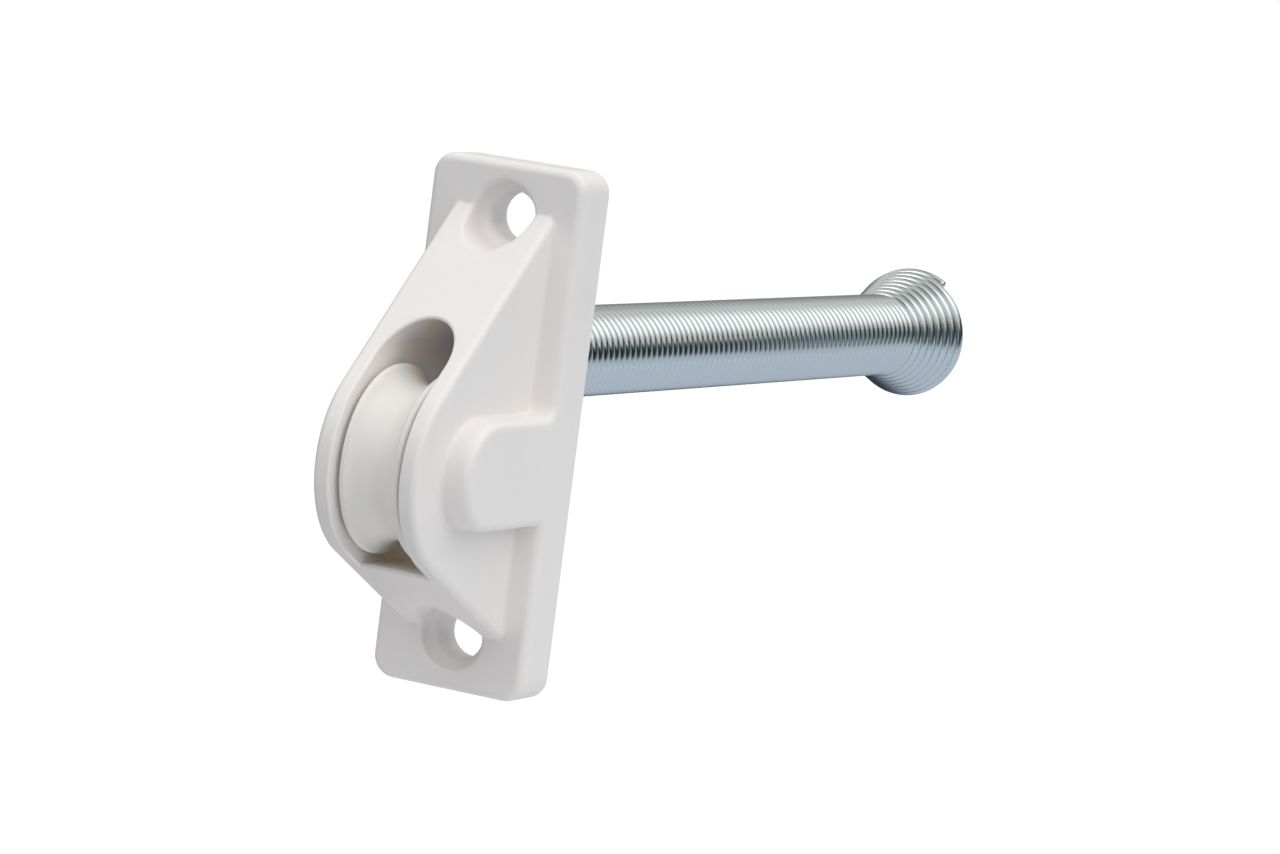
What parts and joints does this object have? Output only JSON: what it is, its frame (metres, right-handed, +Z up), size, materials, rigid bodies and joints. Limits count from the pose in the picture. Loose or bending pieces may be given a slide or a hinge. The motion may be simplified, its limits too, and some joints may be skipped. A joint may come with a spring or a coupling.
{
  "type": "roller shutter cord guide",
  "caption": "Cord guide for a roller shutter: a screw plate with a grooved wheel in its wedge-shaped nose, and a close-wound spring tube with a trumpet mouth behind it.",
  "frame": {"origin": "middle of the screw plate's back face, halfway between the two screw holes", "axes": "-Y out of the wall through the wheel's nose, +Y into the wall along the spring tube, +Z up the plate, +X to the right seen from the front"},
  "size_m": [0.0196, 0.1421, 0.06],
  "materials": {
    "housing_plastic": "satin white moulded plastic",
    "wheel_plastic": "satin white moulded plastic",
    "pin_steel": "drawn bright steel",
    "spring_steel": "bright zinc-plated spring wire"
  },
  "bodies": {
    "guide": {"housing": "housing_plastic", "axle_pin": "pin_steel", "spring_tube": "spring_steel"},
    "wheel": {"pulley_wheel": "wheel_plastic"}
  },
  "joints": [
    {"name": "wheel_spin", "type": "hinge", "parent": "guide", "child": "wheel", "pos_m": [0, -0.0183, -0.0036], "axis": [1, 0, 0], "continuous": true}
  ]
}
